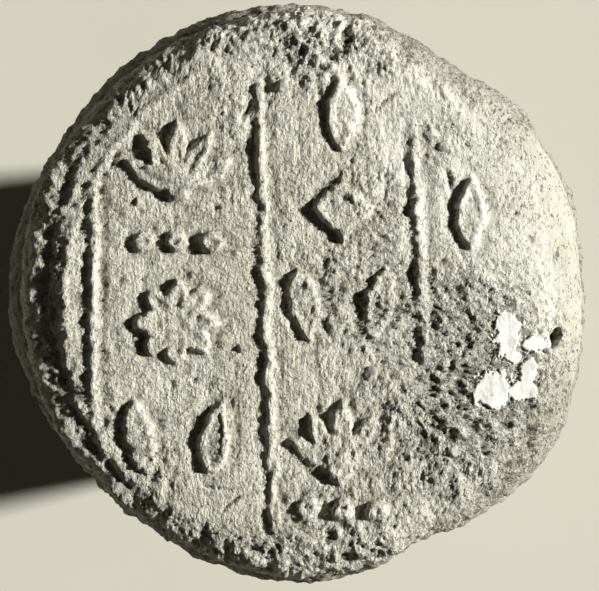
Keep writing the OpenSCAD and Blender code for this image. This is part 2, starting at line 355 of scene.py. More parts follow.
def fired_clay(name, dark, body, pale, depth, wiping, open_skin):
    """Matt fired clay: mottled body colour, pale dust, a painted highlight on what stands proud, painted
    shade in the hollows, dark stains and a crumbly skin.

    The mesh's own fields say where it takes painted shade or stains, a painted highlight, dust (less where
    it faces the lamp, which is painted shade too) and wear. depth is the skin's relief in millimetres.
    wiping squeezes the fibrous grain along each axis, so that it runs as the clay was wiped.
    open_skin is how thickly dark flecks lie on it, from 0 to 1.
    """
    material, place = new_material(name)

    def field(which):
        """One of the mesh's own fields."""
        return place.node("ShaderNodeAttribute", {"attribute_name": which}, out="Fac")

    def squeezed_by(shares):
        """The place with each axis multiplied by a share, which draws a noise out along that axis."""
        return place.node("ShaderNodeVectorMath", {"operation": "MULTIPLY"}, {0: place, 1: shares})

    # The fields: painted shade in hollows and pits, with real stains on the jacket; a painted highlight on
    # raised spots; and dust, taken away where the rim faces the lamp as painted shade.
    hollow, painted_highlight, dust_and_painted_shade, worn = field("hollow"), field("painted_highlight"), field("dust_and_painted_shade"), field("worn")
    clouds = noise(place, 9.0, 4.0, 0.6).between(0.3, 0.7)
    patchy = noise(place, 5.0, 3.0, 0.55).between(0.42, 0.6)
    # Dark breaks in the skin: flecks all over, slanted rents where it is worn, and larger pocks. Their dark
    # colour is partly painted shade for the pits they sink into the relief below.
    dashes = squeezed_by((1, 0.6, 1))
    speckle = noise(dashes, 0.55, 3.0, 0.7)
    slant_inputs = {"Vector": place, "Rotation": (0, 0, np.radians(flay_turn)), "Scale": (3.0, 1, 1)}
    slanted = place.node("ShaderNodeMapping", {"vector_type": "TEXTURE"}, slant_inputs)
    torn = noise(slanted, 0.62, 4.0, 0.75)
    flecks = (speckle + patchy * 0.05 + worn * 0.03 + (open_skin - 1) * 0.05).between(0.58, 0.63)
    rents = (torn + worn * 0.07).between(0.6, 0.63) * worn.between(0.15, 0.6)
    pocks = (noise(dashes, 0.85, 5.0, 0.72) + worn * 0.02).between(0.64, 0.67)
    # Crumbs of grit, a few of them pale and a few dark, picked by each cell's own random colour.
    crumb_inputs = {"Vector": place, "Scale": 1 / (0.8 * MM)}
    crumbs = place.node("ShaderNodeTexVoronoi", {"feature": "F1"}, crumb_inputs, out="Distance")
    crumb_pick = place.node("ShaderNodeTexVoronoi", {"feature": "F1"}, crumb_inputs, out="Color")
    picked = place.node("ShaderNodeSeparateColor", inputs={"Color": crumb_pick}, out="Red")
    crumb_round = 1 - crumbs.between(0.12, 0.3)
    pale_crumbs = crumb_round * picked.between(0.84, 0.9) * 0.8
    dark_crumbs = crumb_round * (1 - picked.between(0.1, 0.16)) * 0.7
    colour = (dust_and_painted_shade * 0.8 + painted_highlight * 0.3 + clouds * 0.3 - patchy * 0.3).between(0.0, 1.0).blend(body, pale)
    # Painted shade in the hollows darkens the colour, along with the skin's specks, flecks, rents and pocks.
    shaded = hollow * 0.4 + (1 - speckle.between(0.36, 0.6)) * 0.16 + flecks * 0.55
    shaded = shaded + pocks * 0.42 + rents * 0.45 + (1 - clouds) * 0.06
    colour = shaded.between(0.0, 1.0).blend(colour, dark)
    colour = dark_crumbs.blend(pale_crumbs.blend(colour, pale), dark)
    fibres = noise(squeezed_by(wiping), 0.4, 3.0, 0.65)
    height = noise(place, 0.5, 3.0, 0.7) + noise(place, 2.2, 6.0, 0.6) + fibres * 0.6 + crumb_round * 0.15
    height = height - flecks * 0.3 - pocks * 0.5 - rents * 0.6
    rough_skin = (worn * 0.7 + 0.92 - dust_and_painted_shade * 0.58) * height * (depth * MM)
    finish_material(colour, 0.8 + speckle * 0.2, shine=0.1, relief=rough_skin)
    return material


core_clay = fired_clay(
    "core_clay",
    dark=(0.10, 0.088, 0.065, 1),
    body=(0.27, 0.245, 0.19, 1),
    pale=(0.40, 0.375, 0.305, 1),
    depth=0.45,
    wiping=(1, 1, 1),
    open_skin=1.0,
)
make_piece(
    "clay_core_clay",
    np.concatenate([core_points.reshape(-1, 3), core_poles]),
    core_faces,
    {"hollow": core_hollow, "dust_and_painted_shade": 0.3 + 0 * core_hollow, "worn": 1 + 0 * core_hollow},
    core_clay,
    "clay_core",
)

# Flank jacket
# A sheet of finer clay wrapped round the core, lapped at one seam, wiped down by hand and rolled over at the
# top into a shoulder. Its lower edge broke with the tail, and a flake came off it there.
jacket_around = 560
jacket_rows_flank = 108
jacket_rows_roll = 48
jacket_rows_inside = 14
jacket_rows_under = 5
roll_end = np.radians(78)
mouth_r = 32.0
mouth_depth = 6.5
wall_least = 0.4
lump_h = 0.8
wiped_h = 0.22
gritty_h = 0.14
gritty_more = 0.34
lip_angle = np.radians(214)
lip_spread = np.radians(48)
lip_h = 3.4
lip_tilt = np.radians(33)
lip_wide = np.radians(27)
seam_angle = np.radians(205)
seam_shut = 18.0
seam_lap = 1.3
seam_groove = 0.7
seam_half = 0.6
spall_angle = np.radians(300)
spall_r = 20.0
spall_past = 2.0
# Turn of each flat that a hand pressed down the flank, in degrees from the right, and its depth.
flank_presses = ((231, 1.9), (297, 1.5), (59, 1.2))
press_least = 0.5
press_wander = 0.06
press_wave = 16.0
press_soft = 3.0
# Turn of each deep finger trough, and the shares of the flank's height where it starts and ends.
finger_troughs = (
    (90, 0.29, 0.88),
    (116, 0.22, 0.78),
    (146, 0.37, 0.88),
    (168, 0.18, 0.85),
    (187, 0.42, 0.83),
    (335, 0.40, 0.93),
    (9, 0.19, 0.69),
    (30, 0.44, 0.88),
)
trough_depth = 0.85
trough_half = 3.1
# The fainter strokes: how many, and the range of each one's turn, middle height, half length and slant.
faint_count = 14
faint_range = ((0, 25, 25, -0.12), (2 * np.pi, 125, 75, 0.12))
faint_depth = 0.65
faint_half = 4.4
ridge_h = 0.3
ridge_off = 1.4
ridge_half = 1.8
# Turn of each drying crack in radians, the height where it ends, and its seed.
drying_cracks = ((0.55, 62, 61), (2.6, 44, 62), (4.35, 80, 63))
crack_depth = 0.8
crack_half = 0.45
chaff_count = 260
chaff_map_r = 36.0
pit_round = 0.8
# Turn of the head's outline, in degrees from the right, and its radius there.
head_outline = np.array([
    (4, 40.2), (20, 40.9), (38, 40.7), (57, 38.8), (78, 40.4), (100, 40.7), (120, 40.3), (150, 39.6),
    (178, 40.4), (203, 39.2), (221, 38.1), (243, 38.6), (266, 40.1), (284, 39.3), (298, 38.5), (317, 40.6),
    (331, 41.4), (346, 40.7),
])


def round_curve(knots, turn):
    """A smooth closed curve through (degrees, value) knots: between two of them, a cubic whose slopes are
    those of the lines that join their neighbours."""
    at = np.radians(np.concatenate([knots[-2:, 0] - 360, knots[:, 0], knots[:2, 0] + 360]))
    value = np.concatenate([knots[-2:, 1], knots[:, 1], knots[:2, 1]])
    turn = np.mod(turn - at[2], 2 * np.pi) + at[2]
    i = np.clip(np.searchsorted(at, turn, side="right") - 1, 1, len(at) - 3)
    gap = at[i + 1] - at[i]
    share = (turn - at[i]) / gap
    slope = (value[2:] - value[:-2]) / (at[2:] - at[:-2])
    start, end = slope[i - 1] * gap, slope[i] * gap
    rise = value[i + 1] - value[i]
    bend = 3 * rise - 2 * start - end + share * (start + end - 2 * rise)
    return value[i] + share * (start + share * bend)


def pressed_r(base, z, turn):
    """A round radius brought in to each flat that lies nearer the axis, with round, wandering edges."""
    for middle, depth in flank_presses:
        wander = press_wander * np.sin(z / press_wave + middle)
        facing = np.clip(np.cos(turn - np.radians(middle) - wander), press_least, None)
        flat = (flank_r(z) - depth / np.cos(flank_lean)) / facing
        share = np.clip(0.5 + (base - flat) / (2 * press_soft), 0, 1)
        base = base * (1 - share) + flat * share - press_soft * share * (1 - share)
    return base


def turn_from(middle, turn):
    """Turn past a middle, the short way round, from minus to plus half a circle."""
    return np.mod(turn - middle + np.pi, 2 * np.pi) - np.pi


def bell(x, wide, y=0, tall=1):
    """1 in the middle, falling off smoothly over about the width, and over the height where y is given."""
    return np.exp(-((x / wide) ** 2) - (y / tall) ** 2)


def pits(flat, places, long, wide, turn, depth):
    """Depth of a set of oval pits at points on a flat map: each a bowl, deepest of those that meet."""
    found = np.zeros(flat.shape[:-1])
    for i in range(len(places)):
        near = np.abs(flat - places[i]).max(axis=-1) < long[i]
        off = flat[near] - places[i]
        along = off[:, 0] * np.cos(turn[i]) + off[:, 1] * np.sin(turn[i])
        across = off[:, 1] * np.cos(turn[i]) - off[:, 0] * np.sin(turn[i])
        bowl = np.clip(1 - (along / long[i]) ** 2 - (across / wide[i]) ** 2, 0, 1)
        found[near] = np.maximum(found[near], depth[i] * bowl**pit_round)
    return found


def smoothed(field, cells):
    """The field with each value replaced by the mean of the square of cells round it."""
    span = 2 * cells + 1
    for axis in (0, 1):
        pad = [(0, 0), (0, 0)]
        pad[axis] = (cells + 1, cells)
        run = np.cumsum(np.pad(field, pad, mode="edge"), axis=axis)
        high = np.take(run, np.arange(span, run.shape[axis]), axis=axis)
        low = np.take(run, np.arange(0, run.shape[axis] - span), axis=axis)
        field = (high - low) / span
    return field


flank_run = np.linspace(0, flank_len, jacket_rows_flank)
roll_turn = np.linspace(-flank_lean, roll_end, jacket_rows_roll + 1)[1:]
outer_r = np.concatenate([
    tail_r + flank_run * np.sin(flank_lean),
    roll_r + shoulder_roll * np.cos(roll_turn),
])
outer_z = np.concatenate([
    flank_run * np.cos(flank_lean),
    roll_z + shoulder_roll * np.sin(roll_turn),
])
tilt = np.concatenate([np.full(jacket_rows_flank, -flank_lean), roll_turn])
angle = np.linspace(0, 2 * np.pi, jacket_around, endpoint=False)
round_r, jacket_angle = np.meshgrid(outer_r, angle, indexing="ij")
jacket_z = np.repeat(outer_z[:, None], jacket_around, axis=1)
jacket_r = pressed_r(round_r, jacket_z, jacket_angle)
jacket_tilt = np.repeat(tilt[:, None], jacket_around, axis=1)
jacket_flat = at_turn(jacket_r, jacket_angle, jacket_z)
high = ramp(jacket_z, 30, body_len - 12)
outline = round_curve(head_outline, jacket_angle) - pressed_r(shoulder_r, roll_z, jacket_angle)
lumps = grain(jacket_flat * [1, 1, 0.35], 22, 51)
wiped = rough(jacket_flat * [1, 1, 0.16], 5, 52, 3)
coarse = rough(jacket_flat, 2.2, 53, 3, 0.6)
swell = outline * high + lump_h * lumps * (1 - 0.7 * high)
near_top = ramp(jacket_z, 120, 136)
jacket_bump = wiped_h * wiped * (1 - 0.6 * near_top) + (gritty_h + gritty_more * near_top) * coarse
# Clay squeezed out from under the pad stands up in a lip along the left of the shoulder.
lip_turn = turn_from(lip_angle, jacket_angle)
lip = lip_h * ramp(lip_spread - np.abs(lip_turn), 0, lip_spread * 0.6)
lip = lip * bell(jacket_tilt - lip_tilt, lip_wide)


def wandering(reach, size, seed, aside, layers, fade=0.5):
    """A sideways wander that changes with the height alone: noise along a line up the flank, moved aside."""
    line = np.stack([0 * jacket_z, 0 * jacket_z + aside, jacket_z], axis=-1)
    return reach * rough(line, size, seed, layers, fade)


# The lap seam: the upper sheet's edge stands over the lower one, and wanders as it climbs.
seam_off = turn_from(seam_angle, jacket_angle) * jacket_r - wandering(4.0, 24, 54, 0, 4, 0.4)
seam_open = ramp(flank_len - seam_shut - jacket_z, 0, 25)
jacket_bump += seam_open * seam_lap * ramp(seam_off, -0.5, 0.5) * ramp(14 - seam_off, 0, 12)
jacket_bump -= seam_open * seam_groove * bell(seam_off, seam_half)
# Fingers drawn down the wet clay left troughs, each with a little ridge at both sides, and fainter strokes
# at a slant.
draw = np.random.default_rng(67)
strokes = [
    (np.radians(turn), (low + high) / 2 * roll_z, (high - low) / 2 * roll_z, 0, trough_depth, trough_half)
    for turn, low, high in finger_troughs
]
strokes += [(*draw.uniform(*faint_range), faint_depth, faint_half) for _ in range(faint_count)]
for stroke_angle, stroke_z, stroke_len, slant, depth, half in strokes:
    above = jacket_z - stroke_z
    off = turn_from(stroke_angle, jacket_angle) * jacket_r - slant * above
    stroke = ridge_h * bell(np.abs(off) - ridge_off * half, ridge_half) - depth * bell(off, half)
    jacket_bump += stroke * np.clip(1 - (above / stroke_len) ** 4, 0, 1) ** 2
# Drying cracks climb from the tail, and chaff has burnt out of the skin.
for crack_angle, crack_top, seed in drying_cracks:
    off = turn_from(crack_angle, jacket_angle) * jacket_r - wandering(3.0, 14, seed, seed, 3)
    jacket_bump -= crack_depth * ramp(crack_top - jacket_z, 0, 25) * bell(off, crack_half)
draw = np.random.default_rng(64)
jacket_map = np.stack([jacket_angle * chaff_map_r, jacket_z], axis=-1)
chaff_turn = draw.uniform(0, 2 * np.pi, chaff_count)
chaff_places = np.stack([chaff_turn * chaff_map_r, draw.uniform(2, 142, chaff_count)], axis=-1)
chaff_long = draw.uniform(0.7, 2.8, chaff_count)
jacket_bump -= pits(
    jacket_map,
    chaff_places,
    chaff_long,
    draw.uniform(0.3, 0.6, chaff_count),
    draw.normal(np.pi / 2, 0.8, chaff_count),
    draw.uniform(0.15, 0.6, chaff_count),
)
outer_reach = jacket_r + swell + jacket_bump * np.cos(jacket_tilt)
outer = at_turn(outer_reach, jacket_angle, jacket_z + lip + jacket_bump * np.sin(jacket_tilt))
# The lost flake: what lies within a sphere beside the tail is pushed back to the sphere's face.
spall_middle = (core_r(0) - spall_past + spall_r) * np.array([np.cos(spall_angle), np.sin(spall_angle), 0])
spall_away = outer - spall_middle
spall_dist = np.linalg.norm(spall_away, axis=-1)
spall_edge = spall_r + 1.5 * rough(outer, 8, 65, 4, 0.6) + 0.5 * np.abs(grain(outer, 2.2, 68))
inward = -outer * [1, 1, 0] / np.linalg.norm(outer[..., :2], axis=-1, keepdims=True)
reach = np.sum(spall_away * inward, axis=-1)
in_sphere = spall_dist < spall_edge
root = np.sqrt(np.clip(reach**2 - spall_dist**2 + spall_edge**2, 0, None))
push = np.where(in_sphere, np.clip(root - reach, 0, jacket_wall + 2), 0)
outer = outer + inward * push[..., None]
spalled = ramp(push, 0.1, 0.8)
lift = break_z(outer[..., 0], outer[..., 1])
outer[..., 2] = np.maximum(outer[..., 2], lift)
# The inner wall lies on the core, and dips into it behind the flake.
inner_z = np.linspace(body_len - mouth_depth, 0, jacket_rows_inside)
low_rows = np.searchsorted(outer_z[:jacket_rows_flank], inner_z).clip(0, jacket_rows_flank - 1)
outer_at = np.linalg.norm(outer[low_rows][..., :2], axis=-1)
inner_r = np.minimum(core_r(inner_z), mouth_r)[:, None]
inner = at_turn(np.minimum(inner_r, outer_at - wall_least), angle, inner_z[:, None])
inner[..., 2] = np.maximum(inner[..., 2], break_z(inner[..., 0], inner[..., 1]))
share = np.linspace(0, 1, jacket_rows_under + 2)[1:-1, None, None]
under = inner[-1] * (1 - share) + outer[0] * share
under[..., 2] = break_z(under[..., 0], under[..., 1])
jacket_points = np.concatenate([outer, inner, under, outer[:1]])
jacket_total = jacket_points.shape[0] - 1
jacket_faces = turned_faces(jacket_total + 1, jacket_around) % (jacket_total * jacket_around)
jacket_off = smoothed(jacket_bump, 5) - jacket_bump
fire_cloud = ramp(rough(jacket_flat * [1, 1, 0.6], 34, 69, 4, 0.55), 0.05, 0.6)
runs = ramp(rough(jacket_flat * [1, 1, 0.07], 5, 70, 2), 0.2, 0.8) * ramp(jacket_z, 20, 110)
soil = ramp(24 - jacket_z + 9 * rough(jacket_flat, 12, 97, 3), 0, 22)
jacket_stain = 0.55 * fire_cloud + 0.3 * runs + 0.4 * soil
# Painted shade in the skin's hollows, or the stains where those are darker.
jacket_hollow = np.maximum(ramp(jacket_off, 0.05, 0.5), jacket_stain)
# A painted highlight on the skin's raised spots.
jacket_painted_highlight = ramp(-jacket_off, 0.03, 0.3)
jacket_dust = 0.3 + 0.6 * rough(jacket_flat * [1, 1, 0.5], 26, 66, 3) + 0.35 * ramp(jacket_z, 90, 140)
jacket_dust = np.clip(jacket_dust - 0.3 * ramp(45 - jacket_z, 0, 45), 0, 1)
jacket_dust = jacket_dust * (1 - spalled)
jacket_clay = fired_clay(
    "jacket_clay",
    dark=(0.15, 0.135, 0.10, 1),
    body=(0.39, 0.375, 0.305, 1),
    pale=(0.50, 0.482, 0.405, 1),
    depth=0.5,
    wiping=(1, 1, 0.15),
    open_skin=0.3,
)
make_piece(
    "flank_jacket_clay",
    jacket_points[:-1],
    [jacket_faces],
    {
        "hollow": np.maximum(jacket_hollow, 0.6 * spalled),
        "painted_highlight": jacket_painted_highlight,
        "dust_and_painted_shade": jacket_dust,
        "worn": np.maximum(spalled, 0.45 * near_top),
    },
    jacket_clay,
    "flank_jacket",
)

# Face pad
# A disc of fine clay pressed on the core's head, bedded in the shoulder's roll and stamped with a block of
# wood. The block's grain, the raised rules and ornaments, and all the wear since are in its face.
pad_low, pad_high = (np.array(corner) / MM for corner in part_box("face_pad"))
pad_r = (pad_high[0] - pad_low[0]) / 2
pad_x = 2.3
pad_foot_z = pad_low[2]
figure_h = 1.2
rule_h = 0.8
rule_w = 1.1
moat_h = 0.22
crown_z = pad_high[2] - figure_h
face_swell = 1.25
# The face's right side sinks by this much over this run, from this far to the right of its middle.
sag_h = 1.6
sag_run = 32.0
sag_from = 4.0
pad_cells = 290
skirt_rows = 8
side_shade = 0.75
block_r = 34.4
wave_h = 0.35
# The roll of squeezed clay and its gutter: height, side of the pad, and place and width on the rim's curve.
squeezed_h = 1.2
squeezed_side = np.radians(190)
squeezed_tilt = np.radians(54)
squeezed_wide = np.radians(17)
gutter_h = 0.35
gutter_tilt = np.radians(24)
gutter_wide = np.radians(9)
pit_count = 420
left_column_x = -18.8
middle_column_x = 3.9
right_column_x = 21.7
# Ends of each rule between the columns, from the pad's middle.
rules = (((-30.4, 15.4), (-30.6, -18)), ((-7.7, 29), (-5.4, -32)), ((13.9, 21), (15.5, -10.5)))
# Where the skin is lost: how much, the place from the pad's middle, half width and half height.
worn_patches = (
    (1.15, 22, -12, 13, 16),
    (0.68, 4, 34, 16, 5),
    (0.6, -2, -35, 20, 4),
    (0.55, 17, 22, 4.5, 6),
)
# How the stamp's outlines wander: size and seed of the noise, how far, and how much further where worn.
drift_layers = ((3.4, 72, 0.45, 0), (1.4, 74, 0.24, 0.35), (0.8, 86, 0.2, 0.2))
# Turn round the pad's middle, in degrees from the right, and the pad's radius there: it nearly reaches the
# head's outline, and leaves a ledge on the left.
pad_outline = np.array([
    (4, 37.2), (21, 37.9), (40, 38.1), (61, 37.0), (81, 39.0), (103, 39.8), (123, 40.0), (140, 40.2),
    (155, 40.4), (175, 40.6), (200, 40.0), (222, 39.1), (245, 38.8), (264, 39.1), (281, 37.9), (295, 36.8),
    (315, 38.2), (329, 38.6), (345, 37.8),
])
# Turn round the pad's middle, and how far in from its edge the face starts to turn over.
pad_rounding = np.array([
    (0, 5), (60, 5), (95, 5), (123, 4.2), (155, 4.8), (177, 6.4), (199, 6), (215, 4.2), (240, 3.8),
    (275, 4.6), (330, 5),
])


def disc_grid(cells):
    """A square grid laid on a disc, each square ring of points a circle. Gives radius share and angle."""
    across, up = np.meshgrid(np.linspace(-1, 1, cells), np.linspace(-1, 1, cells))
    wide = np.abs(across) > np.abs(up)
    large = np.where(wide, across, up)
    small = np.where(wide, up, across)
    slant = np.pi / 4 * small / large
    turn = np.where(wide, slant, np.pi / 2 - slant) + np.where(large < 0, np.pi, 0)
    return np.abs(large), turn


def grid_faces(rows, columns):
    """Quads of a flat grid of points, facing up where rows climb and columns run to the right."""
    row, column = np.meshgrid(np.arange(rows - 1), np.arange(columns - 1), indexing="ij")
    first = row * columns + column
    return np.stack([first, first + 1, first + columns + 1, first + columns], axis=-1).reshape(-1, 4)


def petal(x, y, length, width):
    """Distance outside a petal that stands on the origin, the overlap of two circles through its tips."""
    bow = (length**2 + width**2) / (4 * width)
    return np.hypot(np.abs(x) + bow - width / 2, y - length / 2) - bow


def leaning(x, y, degrees):
    """The point as a figure sees it that is turned by this angle about the origin."""
    turn = np.radians(degrees)
    return x * np.cos(turn) + y * np.sin(turn), y * np.cos(turn) - x * np.sin(turn)


def bud(x, y, length=10.5, width=4.2):
    """One plump petal."""
    return petal(x, y, length, width)


def bud_pair(x, y, apart=4.3, lean=10):
    """Two buds side by side, each leaning outwards."""
    return np.minimum(*(bud(*leaning(x - side * apart, y, -side * lean)) for side in (-1, 1)))


def bead_row(x, y, apart=4.8, radius=1.5):
    """Three round beads in a row."""
    return np.min([np.hypot(x - i * apart, y) for i in (-1, 0, 1)], axis=0) - radius


def rosette(x, y, length=6.0, width=3.3, hub=1.8):
    """Eight petals round a hub."""
    leaves = [petal(*leaning(x, y, i * 45), length, width) for i in range(8)]
    return np.minimum(np.min(leaves, axis=0), np.hypot(x, y) - hub)


def lotus(x, y, length=10, shorter=0.7, width=2.8, foot=1.6):
    """Five petals fanned out from a round foot, shorter towards the sides."""
    leaves = [petal(*leaning(x, y, i * 30), length - shorter * abs(i), width) for i in range(-2, 3)]
    return np.minimum(np.min(leaves, axis=0), np.hypot(x, y) - foot)


def lozenge(x, y, reach=4.4):
    """A square that stands on one corner."""
    return (np.abs(x) + np.abs(y) - reach) / np.sqrt(2)


# Each ornament of the stamp, and its place from the pad's middle.
stamp = (
    (lotus, left_column_x, 14.5),
    (bead_row, left_column_x, 7.4),
    (rosette, left_column_x, -3.6),
    (bud_pair, left_column_x, -24.8),
    (bud, middle_column_x, 20),
    (lozenge, middle_column_x, 12),
    (bud_pair, middle_column_x, -6.2),
    (lotus, middle_column_x, -24.2),
    (bead_row, middle_column_x, -29.6),
    (bud, right_column_x, 6),
)


def strip(x, y, start, end):
    """Distance from the line between two points."""
    start, end = np.array(start), np.array(end)
    run = end - start
    share = np.clip(((x - start[0]) * run[0] + (y - start[1]) * run[1]) / (run @ run), 0, 1)
    return np.hypot(x - start[0] - share * run[0], y - start[1] - share * run[1])


# The smooth pad: a nearly flat face that turns over into a round edge.
rim_share, pad_angle = disc_grid(pad_cells)
edge_r = round_curve(pad_outline, pad_angle)
rim_round = round_curve(pad_rounding, pad_angle)
face_run = edge_r - rim_round
rim_run = rim_round * np.pi / 2
run = rim_share * (face_run + rim_run)
rim_turn = np.clip((run - face_run) / rim_round, 0, np.pi / 2)
smooth_r = np.minimum(run, face_run) + rim_round * np.sin(rim_turn)
pad_px = smooth_r * np.cos(pad_angle)
pad_py = smooth_r * np.sin(pad_angle)
sag = sag_h * np.clip((pad_px - sag_from) / sag_run, 0, None) ** 2
face_fall = face_swell * (smooth_r / edge_r) ** 6 + sag
smooth_z = crown_z - face_fall - rim_round * (1 - np.cos(rim_turn))
pad_flat = np.stack([pad_px, pad_py, smooth_z], axis=-1)
face_share = ramp(face_run + 1.5 - run, 0, 3)

# Wear: the lower right, the top, the bottom and a patch at the upper right have lost their skin, and the
# rest is rubbed.
worn = sum(much * bell(pad_px - x, wide, pad_py - y, tall) for much, x, y, wide, tall in worn_patches)
worn = np.clip(worn + 0.35 * rough(pad_flat, 12, 71, 3), 0, 1)
flayed_away = worn * (1 - 0.85 * bell(pad_px - 27.5, 5, pad_py + 9, 7))
drift = sum(
    np.stack([grain(pad_flat, size, seed), grain(pad_flat, size, seed + 1)]) * (far + further * worn)
    for size, seed, far, further in drift_layers
)
mark_x, mark_y = pad_px + drift[0], pad_py + drift[1]
figure_edge = np.min([shape(mark_x - x, mark_y - y) for shape, x, y in stamp], axis=0)
rule_edge = np.min([strip(mark_x, mark_y, *ends) for ends in rules], axis=0) - rule_w / 2
kept = 0.7 - 0.08 * ramp(pad_px, -10, 0) - 0.35 * worn
kept = np.clip(kept + 0.35 * grain(pad_flat, 13, 94) + 0.35 * rough(pad_flat, 5, 76, 3), 0.1, 1.05)
sunk = 0.25 * ramp(-figure_edge, 0.8, 1.2)
figure_rise = figure_h * kept * (ramp(-figure_edge, -0.2, 0.3) - sunk) * face_share
rule_kept = np.clip(0.1 + 0.6 * kept + 0.45 * rough(pad_flat, 2.6, 95, 2, 0.7), 0.15, 1)
rule_rise = rule_h * rule_kept * ramp(-rule_edge, -0.25, 0.3) * face_share
stamped = np.maximum(figure_rise, rule_rise)
moat = moat_h * bell(np.minimum(figure_edge, rule_edge) - 0.8, 0.7) * face_share
fibres = rough(pad_flat * [1, 0.08, 1], 1.5, 77, 2, 0.7)


def crumbly(points):
    """A broken surface: four layers of noise that fade slowly, so that the small ones stay sharp."""
    return rough(points * [1, 0.8, 1], 2.6, 79, 4, 0.68)


middle_rough = 0.3 * bell(pad_px - 5, 11) * face_share
crumbling = 0.25 + 0.9 * flayed_away + 0.4 * grain(pad_flat, 7, 90) + 0.38 * (1 - face_share) + middle_rough
crumbs = crumbly(pad_flat) * np.clip(crumbling, 0.1, 2)
block_edge = bell(smooth_r - block_r + drift[0], 0.6) * ramp(-pad_px, 12, 20) * ramp(pad_py, -9, -3)
sharp = np.random.default_rng(96).normal(0, 1, pad_px.shape) * (0.045 + 0.075 * worn)
skin = 0.08 * fibres * (1 - 0.6 * worn) * face_share + 0.4 * crumbs + 0.35 * block_edge + sharp
chalky = ramp((pad_px + pad_py) * np.sqrt(0.5), 10, 27)
skin = skin * (1 - 0.6 * chalky * ramp(pad_px, 8, 18))
streak_x, streak_y = leaning(pad_px, pad_py, flay_turn)
streaks = np.stack([0.4 * streak_x, streak_y, smooth_z], axis=-1)
flakes = rough(streaks, 2.4, 80, 4, 0.65) * 3
ledges = np.floor(flakes) + ramp(flakes - np.floor(flakes), 0.65, 1)
flayed = flayed_away * 0.19 * ledges
flayed -= (0.15 + flayed_away) * 0.2 * ramp(rough(streaks * [0.7, 1, 1], 0.8, 89, 2, 0.7), 0.15, 0.6)
waves = wave_h * grain(pad_flat, 17, 81)
edge_crumbs = (1 - face_share) * 0.3 * rough(pad_flat, 2.4, 82, 3, 0.7) * ramp(30 - pad_px, 0, 10)

# Clay squeezed out round the block stands in a broken roll along the left of the rim, with a gutter inside.
roll_broken = np.clip(0.72 + 0.55 * rough(pad_flat, 5, 98, 5, 0.6), 0, 1.3)
squeezed = squeezed_h * roll_broken * bell(rim_turn - squeezed_tilt, squeezed_wide)
squeezed -= gutter_h * bell(rim_turn - gutter_tilt, gutter_wide)
squeezed *= ramp(np.cos(pad_angle - squeezed_side), 0.66, 0.86)

# Small pits, scattered at random and thicker towards the rim.
draw = np.random.default_rng(83)
pit_r = pad_r * np.sqrt(draw.uniform(0, 1, pit_count))
pit_turn = draw.uniform(0, 2 * np.pi, pit_count)
pit_places = np.stack([pit_r * np.cos(pit_turn), pit_r * np.sin(pit_turn)], axis=-1)
pit_worn = bell(pit_places[:, 0] - 22, 15, pit_places[:, 1] + 10, 18)
pit_kept = draw.uniform(0, 1, pit_count) < 0.25 - 0.1 * pit_worn + 0.25 * (pit_r / pad_r) ** 6
pit_long = 0.3 + 0.6 * draw.uniform(0, 1, pit_count) ** 3
pit_depth = draw.uniform(0.15, 0.45, pit_count)
drifted = np.stack([mark_x, mark_y], axis=-1)
scattered = pits(
    drifted,
    pit_places[pit_kept],
    pit_long[pit_kept],
    (pit_long * draw.uniform(0.35, 0.8, pit_count))[pit_kept],
    draw.normal(np.pi / 2, 0.5, pit_count)[pit_kept],
    pit_depth[pit_kept],
)
# Marks that stand out: the hole by the right edge, pits at the top and bottom, scratches and short cracks.
mark_table = np.array([
    # x, y, half length, half width, turn in degrees, depth
    (33.4, -5.8, 1.2, 0.8, 60, 2.4),
    (4.2, 36.0, 2.2, 1.2, 70, 1.0),
    (3.2, 33.4, 1.5, 0.9, 40, 0.8),
    (-1.2, 34.0, 1.4, 0.5, 95, 0.8),
    (18.6, 16.0, 1.8, 0.35, 100, 0.7),
    (17.4, -18.2, 3.0, 0.3, -25, 0.5),
    (18.8, -19.4, 2.6, 0.25, -27, 0.4),
    (16.4, -19.8, 1.8, 0.25, -24, 0.4),
    (4.4, -36.2, 1.6, 1.0, 20, 1.0),
    (2.3, -33.0, 1.1, 0.8, 80, 0.8),
    (-11.2, -28.6, 1.9, 0.3, 42, 0.6),
    (-13.6, -26.4, 3.6, 0.24, -9, 0.4),
    (-27.6, 19.0, 1.6, 0.3, 62, 0.6),
    (-9.4, 25.6, 1.7, 0.5, 66, 0.7),
    (9.6, 26.8, 2.4, 0.24, 38, 0.4),
])
marked = pits(
    drifted,
    mark_table[:, :2],
    mark_table[:, 2],
    mark_table[:, 3],
    np.radians(mark_table[:, 4]),
    mark_table[:, 5],
)
pad_bump = stamped - moat + skin + flayed + waves + edge_crumbs + squeezed - scattered - marked
pad_points = np.stack([
    pad_x + pad_px + pad_bump * np.sin(rim_turn) * np.cos(pad_angle),
    pad_py + pad_bump * np.sin(rim_turn) * np.sin(pad_angle),
    smooth_z + pad_bump * np.cos(rim_turn),
], axis=-1)

